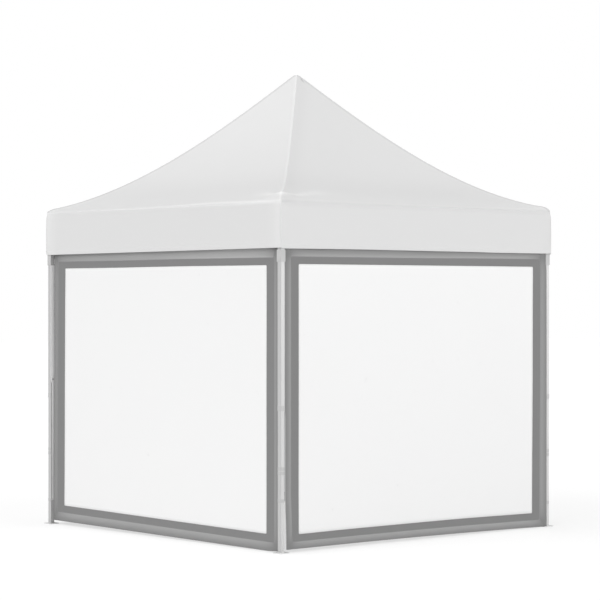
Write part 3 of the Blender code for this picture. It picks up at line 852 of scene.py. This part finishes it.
# %% The finished cover
rows, columns = ring.shape[:2]
peak = np.array([[0.0, 0.0, ring[0, :, 2].mean()]])
fan = [(rows * columns, i, (i + 1) % columns) for i in range(columns)]
canopy = make_piece(
    "canopy_cover", np.concatenate([ring.reshape(-1, 3), peak]),
    quads(rows, columns, wrap=True).tolist() + fan, CANOPY_CLOTH,
    fields={"painted_shading": np.append(painted_shading.ravel(), 1)},
    maps={"cloth": np.concatenate([cloth.reshape(-1, 2), [[0, 0]]]),
          "seam": np.concatenate([seam.reshape(-1, 2), [[0, 1]]])})
solid_cloth(canopy, CLOTH_THICK)
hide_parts(*(f"{part}_{side}" for part in ("roof", "valance") for side in SIDES))
print("canopy:", rows * columns + 1, "points, top at", round(float(peak[0, 2]), 4), "m")

# %% [markdown]
# ## The walls
# Each wall is a surround of grey cloth with a thicker border sewn round the opening for the window. The
# outside of the surround is a soft sleeve, so it rolls away towards the leg and the hem. Its tone holds
# painted light and shade: a painted highlight beside the border, painted shade towards its edges and
# corners, and on the left wall painted light close under the valance. It could be pieced together from
# four strips; instead one section is carried round the rectangle, so the corners mitre themselves. The
# bottom of each wall hangs a little unevenly, as the photograph shows.

# %% Sizes of the walls
LEG_AT = 1.46
WALL_HALF, WALL_LOW, WALL_HIGH = 1.434, 0.020, 2.400
VALANCE_HIDES = 2.262                        # above this a wall is behind the valance
# Outside of the border and edge of the window as (half width, foot, head, shift): front and back first,
# then left and right. All other pairs are in the same order.
SEAM = ((1.3695, 0.076, 2.2065, -0.0068), (1.3755, 0.080, 2.199, 0.0))
WINDOW = ((1.2885, 0.132, 2.150, -0.0133), (1.2833, 0.1355, 2.142, 0.0065))
WALL_D = (-0.0165, 0.0060)                   # front face, inwards from the leg centres
WALL_THICK, BORDER_PROUD, BORDER_WIDE = 0.0012, 0.0016, 0.057
ROLL, ROLL_TOP, ROLL_WIDE = 0.0065, 0.0030, 0.064   # how far the sleeve bulges out, and its width
WINDOW_ROUND, SEAM_ROUND, OUTER_ROUND = 0.010, 0.012, 0.006
SECTION_BORDER = np.array([0, 0.02, 0.06, 0.2, 0.4, 0.6, 0.8, 0.93, 0.98])
SECTION_BAND = np.array([0.0, 0.03, 0.08, 0.15, 0.24, 0.34, 0.45, 0.56, 0.67, 0.78, 0.88, 0.95, 1.0])

print("a wall is", 2 * WALL_HALF, "m wide; its window shows", 2 * WINDOW[0][0], "by",
      WINDOW[0][2] - WINDOW[0][1], "m")

# %% Rectangles round a window
RIGHT_END, HEAD, LEFT_END = 1, 2, 3          # sides of a rectangle; the foot is 0
SIDE_COLUMNS, ARC_COLUMNS = (73, 61, 73, 61), 6
Section = namedtuple("Section", "s z side share in_band out")


def blend(start, end, share):
    """From start, where share is 0, to end, where it is 1."""
    return start + (end - start) * share


def rectangle_path():
    """Columns of the ring as (side of the rectangle, share along it, corner angle), foot first."""
    side, share, angle = [], [], []
    for number, count in enumerate(SIDE_COLUMNS):
        straight = np.linspace(0, 1, count)
        arc = np.linspace(0, math.pi / 2, ARC_COLUMNS)[1:-1]
        side.append(np.full(count + arc.size, number))
        share.append(np.concatenate([straight, np.ones(arc.size)]))
        angle.append(np.concatenate([np.zeros(count), arc]))
    return (np.concatenate(part)[None, :] for part in (side, share, angle))


def rectangle_rings(*sizes):
    """Points (s, z) of nested rectangles with round corners, one row for each rectangle.

    sizes are arrays of half width, low and high edge, corner radius and shift. Every side is the
    straight run between two corner centres, then an arc about the next centre; angle 0 leaves the arc
    at the end of its side.
    """
    side, share, angle = rectangle_path()
    half, low, high, radius, shift = (np.asarray(size)[:, None] for size in sizes)
    flat_s, flat_low, flat_high = half - radius, low + radius, high - radius
    run_s = -flat_s + 2 * flat_s * share
    run_z = flat_low + (flat_high - flat_low) * share
    sine, cosine = radius * np.sin(angle), radius * np.cos(angle)
    s = np.choose(side, [run_s + sine, flat_s + cosine, -run_s - sine, -flat_s - cosine])
    z = np.choose(side, [flat_low - cosine, run_z + sine, flat_high + cosine,
                         flat_low + flat_high - run_z - sine])
    return s + shift, z, side


def wall_grid(kind):
    """A surround laid flat: rectangles nested from the window's edge out to the hem.

    share goes from 0 to 1 over the border, and again over the band outside it; out is the distance
    from the seam between them.
    """
    in_band = np.repeat((False, True), (SECTION_BORDER.size, SECTION_BAND.size))
    share = np.concatenate([SECTION_BORDER, SECTION_BAND])

    def spread(window, seam, outer):
        """One size of every rectangle: from the window's to the seam's, and on to the outer edge's."""
        return np.where(in_band, blend(seam, outer, share), blend(window, seam, share))

    outer = (WALL_HALF, WALL_LOW, WALL_HIGH, 0.0)
    half, low, high, shift = (spread(*sizes) for sizes in zip(WINDOW[kind], SEAM[kind], outer))
    s, z, side = rectangle_rings(half, low, high, spread(WINDOW_ROUND, SEAM_ROUND, OUTER_ROUND), shift)
    seam_half, seam_low, seam_high, _ = SEAM[kind]
    end = WALL_HALF - seam_half
    width = np.choose(side, [seam_low - WALL_LOW, end, WALL_HIGH - seam_high, end])
    in_band, share = in_band[:, None], share[:, None]
    return Section(s, z, side, share, in_band, share * width * in_band)


print("a surround has", wall_grid(0).s.size, "points")

# %% [markdown]
# A real wall never hangs quite straight. Its foot sinks or slopes, its ends stand off the leg or lie over
# it, and the opening leans. Each of these is a small move of a few millimetres as a formula of the place
# on the wall, s along it and z up it, and the window's sheet takes the same moves as the surround.

# %% How the walls hang
# Front and back: the foot's rise at the left end, where it starts to sink and how far up that shows;
# the seam's rise; the window edge's waves and the zone of height that they keep to
SINK, SINK_FROM, SINK_FADE = 0.0045, -0.8, 0.33
SEAM_RISE, SEAM_ZONE = 0.007, 0.025
SILL_WAVES, SILL_ZONE = ((0.0022, 0.4, 0.5), (-0.0024, -1.25, 0.3)), (0.13, 0.06)
# Left and right: the foot's place and the bulge over the window's edge, each as (middle, slope along s)
FOOT_SLOPE, FOOT_FADE = (-0.0055, -0.0095), 0.9
BULGE_SLOPE, BULGE_ZONE = (0.016, -0.0045), (0.12, 0.08)
END_LIFT, END_FADE, HEAD_LIFT, HEAD_DROOP = 0.009, 0.05, 0.0014, 0.0058
# The opening's ends: lean by height, the height where it is 0; both again for the side walls' lower right
LEAN, LEAN_MIDDLE, LOW_LEAN, LOW_MIDDLE = (0.0057, 0.0070), 1.05, 0.0035, 0.9
END_REACH = ((0.0052, 0.0105), (-0.0075, 0.0))   # how far the left and right end reach past WALL_HALF
END_ZONE, DRAWN_BACK = 0.07, 0.0095          # width of those ends; the left wall's upper end draws back
STAND_OFF, OFF_ZONE, OFF_HIGH = 0.016, 0.16, 0.42   # the front wall's lower left edge, off its leg
OVER_LEG = 0.0065                            # the front wall's right end lies in front of its leg
RIPPLE, RIPPLE_QUICK = 0.0009, 0.0004
BACK, BACK_RAISE, BACK_FADE = 2, 0.034, 0.10   # the back wall's right end hangs clear of the ground


def hang(s, z, kind):
    """How far a point of a wall sits above or below its straight place.

    Front and back: the foot sinks towards the right end with the square of the distance from where it
    starts, and the sinking dies away upwards; seam and window edge wave a little. Left and right: the
    foot slopes evenly from end to end and lifts at the right one, the window's edge bulges up just
    over it, and the head droops at the left end.
    """
    if kind == 0:
        foot = SINK * (1 - np.maximum(s - SINK_FROM, 0) ** 2) * np.exp(-z / SINK_FADE)
        seam = SEAM_RISE * smooth_step(s, -0.4, 1.2) * bell(z, SEAM[0][2], SEAM_ZONE)
        return foot + seam + sum(line(s, *wave) for wave in SILL_WAVES) * bell(z, *SILL_ZONE)
    foot = polynomial.polyval(s, FOOT_SLOPE) * np.exp(-z / FOOT_FADE)
    bulge = polynomial.polyval(s, BULGE_SLOPE) * bell(z, *BULGE_ZONE)
    lift = END_LIFT * smooth_step(s, 1.30, 1.41) * np.exp(-z / END_FADE)
    head = (HEAD_LIFT - HEAD_DROOP * smooth_step(-s, -0.5, 1.0)) * smooth_step(z, 1.9, 2.14)
    return foot + bulge + lift + head


def pull_in(s, z, kind):
    """The front wall's lower left edge stands off the leg, most at the foot, none above the strap.

    The distance is STAND_OFF times 1 less the square of the height's share of OFF_HIGH.
    """
    off = STAND_OFF * np.clip(1 - (z / OFF_HIGH) ** 2, 0, 1)
    return (1 - kind) * off * smooth_step(-s, WALL_HALF - OFF_ZONE, WALL_HALF)


def lean(s, z, kind):
    """How far the opening's end leans along s, in proportion to the height above the wall's middle.

    On the left and right walls that is the left end, and the right one leans only below LOW_MIDDLE.
    """
    end = smooth_step(s if kind == 0 else -s, 0, 1.2)
    near_foot = LOW_LEAN * kind * np.minimum(z - LOW_MIDDLE, 0) * smooth_step(s, 0, 1.2)
    return LEAN[kind] * (z - LEAN_MIDDLE) * end + near_foot


def edge_reach(s, z, kind):
    """The last END_ZONE of a wall's ends, drawn out over or close up to the leg.

    Above the leg's step the left wall draws back a little more, beside the flap.
    """
    left, right = END_REACH[kind]
    left = left - DRAWN_BACK * kind * smooth_step(z, 1.15, 1.22)
    start = WALL_HALF - END_ZONE
    return right * smooth_step(s, start, WALL_HALF) - left * smooth_step(-s, start, WALL_HALF)


def over_leg(s, z, kind):
    """The front wall's right end comes forward to lie in front of the leg, but not behind the valance."""
    return OVER_LEG * (1 - kind) * smooth_step(s, 1.0, WALL_HALF) * (1 - smooth_step(z, 2.10, 2.24))


def ripple(s, z):
    """Slow unevenness of hanging cloth, about a millimetre in and out."""
    slow = RIPPLE * np.sin(3.1 * s + 1.3 * z + 0.4) * np.sin(2.3 * z + 0.9)
    return slow + RIPPLE_QUICK * np.sin(9.7 * s - 4.1 * z)


def hung(s, z, kind, proud, leaning=1, reaching=0):
    """The place of flat points (s, z), proud of the wall's plane, with every move of the cloth."""
    x = s + pull_in(s, z, kind) + lean(s, z, kind) * leaning + edge_reach(s, z, kind) * reaching
    y = -LEG_AT + WALL_D[kind] - proud - ripple(s, z) - over_leg(s, z, kind)
    return np.stack([x, y, z + hang(s, z, kind)], axis=-1)


print("the front wall's foot sinks by", round(-1000 * float(hang(1.4, 0.02, 0)), 1), "mm at its right end")

# %% Tone of the walls
# The border's even tone is the cloth's own. The sleeve is a lighter grey, and its tones also hold painted
# light and shade: a painted highlight beside the border, painted shade towards its outer edge and in the
# corners by the legs, the hem and the valance, painted light close under the valance on the left wall, and
# painted light on the binding beside the thin lower leg.
BAND_LIGHT, BAND_DARK, BORDER_TONE = 0.34, 0.235, 0.212
BAND_SIDE = (0.32, 0.285)                    # sleeve beside the border
# The left wall's head, with painted light: beside the border, how much it changes along s, and close under
# the valance
HEAD_LIGHT, HEAD_SLOPE, HEAD_EDGE = 0.362, 0.018, 0.43
HEAD_END, HEAD_END_FADE, HEAD_FADE = 0.08, 0.06, 0.9   # how the front head's end and the left head darken
HEAD_LINES = ((0.03, 0.006, 0.012), (0.05, 0.004, 0.010))   # front and left, as (strength, place, width)
SLEEVE_WIDE, SIDE_DIP = 0.060, 0.45          # over which the sleeve darkens, share of it beside the border
CORNER_START, FADE_WIDE, DARK_WIDE = 0.05, 0.09, 0.04   # distances over which the corners darken
FADE_STEP, DARK_SHARE, DARK_STEP = 0.02, 0.8, 0.03
BINDING, BINDING_THIN = 0.24, 0.06           # how much lighter the front wall's left edge is bound


def head_tone(kind, at, grey, fade):
    """The head of a wall: a painted highlight line beside the border and painted shade in the corners it
    shares with a leg; on the left wall, painted light close under the valance to make up for its shade.
    """
    if kind == 0:
        head = grey + line(at.out, *HEAD_LINES[0])
        return blend(head, BAND_DARK, np.exp(-np.maximum(WALL_HALF - HEAD_END - at.s, 0) / HEAD_END_FADE))
    head = HEAD_SLOPE * at.s + blend(HEAD_LIGHT, HEAD_EDGE, smooth_step(at.out, 0.046, 0.062))
    head = head + (BAND_DARK - HEAD_EDGE) * smooth_step(at.out, 0.070, 0.090)
    head = blend(head, BAND_DARK, HEAD_FADE * fade)
    return head + line(at.out, *HEAD_LINES[1]) * smooth_step(at.s, -0.2, 0.6)


def wall_tone(kind, at, upright):
    """The cloth's two tones with painted light and shade: the border is even, and the sleeve gets a painted
    highlight beside the border and painted shade outwards and in its corners.

    The front wall's left edge is bound in lighter tape; beside the thin lower leg it is lighter still, which
    is painted light over the shadowed gap there.
    """
    # Painted shade in the corners by the legs, hem and valance, and a painted highlight beside the border
    # that fades to painted shade at the sleeve's outer edge
    up_or_down = np.minimum(at.z - WALL_LOW, VALANCE_HIDES - at.z)
    from_corner = np.where(upright, up_or_down, WALL_HALF - np.abs(at.s))
    beyond = np.maximum(from_corner - CORNER_START, 0)
    fade, corner = np.exp(-beyond / FADE_WIDE), np.exp(-beyond / DARK_WIDE)
    light = blend(np.where(upright, BAND_SIDE[kind], BAND_LIGHT), BAND_SIDE[kind] - FADE_STEP, fade)
    light = blend(light, BAND_DARK, DARK_SHARE * corner)
    rolled = smooth_step(at.out / SLEEVE_WIDE, 0.0, 1.0)
    dip = np.where(upright, SIDE_DIP * (1 - smooth_step(at.out / SLEEVE_WIDE, 0.0, 0.35)), 0)
    grey = blend(light, BAND_DARK, np.maximum(rolled, dip)) - DARK_STEP * corner
    if kind == 0:
        # Beside the thin lower leg the binding gets painted light over the shadowed gap there
        thin = smooth_step(at.z, 1.06, 1.02) * smooth_step(at.z, 0.30, 0.40)
        bound = smooth_step(at.share + 0.05 * thin, 0.93, 1.0) * (at.side == LEFT_END)
        grey = grey + (BINDING + BINDING_THIN * thin) * bound
    head = head_tone(kind, at, grey, fade)
    return np.where(at.in_band, np.where(at.side == HEAD, head, grey), BORDER_TONE)


print("the border's tone is", BORDER_TONE, "and the sleeve's", BAND_DARK, "to", BAND_LIGHT)


# %% Wall surrounds
def wall_surface(kind):
    """Points, tone and maps of one surround; its sleeve bulges out and its border stands proud."""
    at = wall_grid(kind)
    upright = (at.side == RIGHT_END) | (at.side == LEFT_END)
    bulge = np.sin(np.pi * np.clip(at.out / ROLL_WIDE, 0, 1)) ** 0.9
    sleeve = np.where(at.side == HEAD, ROLL_TOP, ROLL) * bulge
    proud = np.where(at.in_band, sleeve, BORDER_PROUD * smooth_step(1 - at.share, 0.0, 0.03))
    points = hung(at.s, at.z, kind, proud, 1 - at.share * at.in_band, at.in_band)
    seam_distance = np.where(at.in_band, at.out, (1 - at.share) * BORDER_WIDE)
    seam = np.stack([np.where(upright, at.z, at.s), seam_distance], axis=-1)
    return points, wall_tone(kind, at, upright), np.stack([at.s, at.z], axis=-1), seam


def wall(quarter):
    """One wall's cloth, turned to its side of the tent."""
    side, kind = SIDES[quarter], quarter % 2
    points, grey, cloth, seam = wall_surface(kind)
    if quarter == BACK:
        x, z = points[..., 0], points[..., 2]
        points[..., 2] = z + BACK_RAISE * smooth_step(x, 0.7, 1.3) * np.exp(-z / BACK_FADE)
    made = make_piece(f"wall_cloth_{side}", quarter_turned(points, quarter),
                      quads(*points.shape[:2], wrap=True), WALL_CLOTH,
                      fields={"grey": grey}, maps={"cloth": cloth, "seam": seam})
    solid_cloth(made, WALL_THICK)
    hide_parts(f"wall_{side}")
    # It is sewn from four strips, which are declared end to end as one long strip of their mean width.
    return made


walls = [wall(quarter) for quarter in range(4)]
print("walls:", ", ".join(piece.name for piece in walls))

# %% [markdown]
# ## The windows
# A window is one flat milky sheet, sewn in behind the border. A single quad would catch the light like a
# board, so it is a grid with the wall's own slow ripple, and it follows the uneven hang of the wall.

# %% Window sheets
WINDOW_PROUD, WINDOW_LAP, WINDOW_THICK = 0.0002, 0.022, 0.0008


def window(quarter):
    """The sheet behind the opening: a grid of shares across and up, with the wall's ripple and hang."""
    side, kind = SIDES[quarter], quarter % 2
    rows, columns = 41, 53
    half, low, high, shift = WINDOW[kind]
    up = np.linspace(high + WINDOW_LAP, low - WINDOW_LAP, rows)[:, None]
    along = np.linspace(-half - WINDOW_LAP, half + WINDOW_LAP, columns)[None, :] + shift
    s, z = np.broadcast_arrays(along, up)
    points = hung(s, z, kind, WINDOW_PROUD)
    made = make_piece(f"window_sheet_{side}", quarter_turned(points, quarter), quads(rows, columns),
                      WINDOW_SHEET, maps={"cloth": np.stack([s, z], axis=-1)})
    solid_cloth(made, WINDOW_THICK)
    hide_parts(f"window_{side}")
    return made


windows = [window(quarter) for quarter in range(4)]
print("windows:", ", ".join(piece.name for piece in windows))

# %% [markdown]
# ## Straps and flaps
# Each wall holds on to the lower legs with three webbing straps. On the left and right walls a narrow flap
# closes the slot between the wall's left end and the leg. A strap could be a bent box, but webbing has a
# soft edge and a little give, so its section runs round the leg as a closed path of points.

# %% Straps round the lower legs
STRAP_TALL, STRAP_BULGE, STRAP_OUT, STRAP_THICK = 0.025, 0.0013, 0.0003, 0.0009
LOWER_HALF = 0.0189                          # half width of the lower tube
STRAP_CORNER = 7.0                           # power of the rounded square
EDGE_SHARE = 0.55                            # of the bulge, left at the strap's two edges
STRAP_AT = (((-1, 0.595), (-1, 0.39), (1, 0.627)), ((-1, 0.595), (-1, 0.20), (1, 0.627)))
STRAP_TONE = 0.52
CLEAR_OF_SEAM = 1.0                          # straps and flaps have no stitches: their map is a metre off


def strap_surface(hand, z):
    """One loop: a rounded square a little larger than the tube, carried up in rows with a soft bulge.

    A row's share of the bulge goes from EDGE_SHARE to 1 with the root of 1 less the square of up, its
    place between the strap's edges at -1 and 1, so both edges turn in.
    """
    up = np.sin(np.linspace(1, -1, 9) * math.pi / 2)[:, None]
    turn = np.linspace(0, 2 * math.pi, 64, endpoint=False)[None, :] + math.pi / 64
    reach = LOWER_HALF + STRAP_OUT + STRAP_BULGE * blend(EDGE_SHARE, 1, np.sqrt(1 - up ** 2))
    cosine, sine = np.cos(turn), np.sin(turn)
    around = (np.abs(cosine) ** STRAP_CORNER + np.abs(sine) ** STRAP_CORNER) ** (-1 / STRAP_CORNER)
    x = hand * LEG_AT + reach * around * cosine
    y = -LEG_AT + reach * around * sine
    height = z + STRAP_TALL / 2 * up + 0 * turn
    return np.stack([x, y, height], axis=-1), np.stack([reach * turn, height], axis=-1)


def grey_cloth(name, quarter, points, tone, cloth, thickness, wrap):
    """A strap or a flap: wall cloth of its own tone and thickness, turned to its side of the tent."""
    made = make_piece(name, quarter_turned(points, quarter), quads(*points.shape[:2], wrap=wrap),
                      WALL_CLOTH, fields={"grey": tone},
                      maps={"cloth": cloth, "seam": cloth + CLEAR_OF_SEAM})
    return solid_cloth(made, thickness)


def strap(quarter, hand, z):
    """A webbing loop at one end of a wall, with its two edges closed onto the tube."""
    points, cloth = strap_surface(hand, z)
    name = f"strap_{SIDES[quarter]}_{'left' if hand < 0 else 'right'}_{round(1000 * z)}"
    return grey_cloth(name, quarter, points, np.full(points.shape[:2], STRAP_TONE), cloth, STRAP_THICK, True)


straps = [strap(quarter, hand, z) for quarter in range(4) for hand, z in STRAP_AT[quarter % 2]]
print(len(straps), "straps")

# %% Flaps beside the far legs
FLAP_AT = 0.0212                             # in front of the leg's middle, towards the wall
# Its edge behind the wall and its outer edge, each above and below the leg's step
FLAP_IN_HIGH, FLAP_IN_LOW = LEG_AT - 0.0360, LEG_AT - 0.0215
FLAP_OUT_HIGH, FLAP_OUT_LOW = LEG_AT + 0.0205, LEG_AT + 0.0080
FLAP_LOW, FLAP_HIGH, FLAP_STEP, STEP_TALL = 0.20, 2.30, 1.195, 0.012
# High up the flap is near white, lighter than the cloth, which is painted light that makes up for the shade
# of the wall and leg on it; low down it is darker.
FLAP_TONE = (0.94, 0.74)                     # high up, low down
FLAP_BULGE, FLAP_THICK = 0.0010, 0.0008


def flap_surface():
    """A strip that stands on the leg's face: both its edges step in where the leg grows thinner."""
    z, share = np.broadcast_arrays(np.linspace(FLAP_HIGH, FLAP_LOW, 85)[:, None], np.linspace(0, 1, 9))
    above = smooth_step(z, FLAP_STEP - STEP_TALL, FLAP_STEP + STEP_TALL)
    outer = blend(FLAP_OUT_LOW, FLAP_OUT_HIGH, above)
    y = -blend(outer, blend(FLAP_IN_LOW, FLAP_IN_HIGH, above), share)
    x = -LEG_AT + FLAP_AT + FLAP_BULGE * np.sin(np.pi * share)
    # Painted light high up, darker low down
    tone = blend(FLAP_TONE[1], FLAP_TONE[0], smooth_step(z, 0.3, 1.3))
    return np.stack([x, y, z], axis=-1), tone, np.stack([y, z], axis=-1)


def flap(quarter):
    """The flap of one wall's left end."""
    side = SIDES[quarter]
    made = grey_cloth(f"closing_flap_{side}", quarter, *flap_surface(), FLAP_THICK, False)
    return made


flaps = [flap(quarter) for quarter in (1, 3)]
print("flaps:", ", ".join(piece.name for piece in flaps))

# %% [markdown]
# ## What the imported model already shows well
# Legs, collars, brackets and trusses are already the right shape, so they only get their finish.

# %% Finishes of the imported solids
SOLID_FINISH = {"upper_leg": LEG_METAL, "lower_leg": LOWER_METAL, "leg_collar": PLASTIC,
                "slider_bracket": PLASTIC, "corner_bracket": PLASTIC, "side_truss": TRUSS_METAL,
                "inner_truss": TRUSS_METAL, "centre_mast": TRUSS_METAL}
dressed = 0
for name, solid in nodes.items():
    for start, finish in SOLID_FINISH.items():
        if name.startswith(start):
            solid.data.materials.clear()
            solid.data.materials.append(finish)
            dressed += 1
print(dressed, "solids keep their shape and get a finish")

# %% The end
bpy.context.view_layer.update()
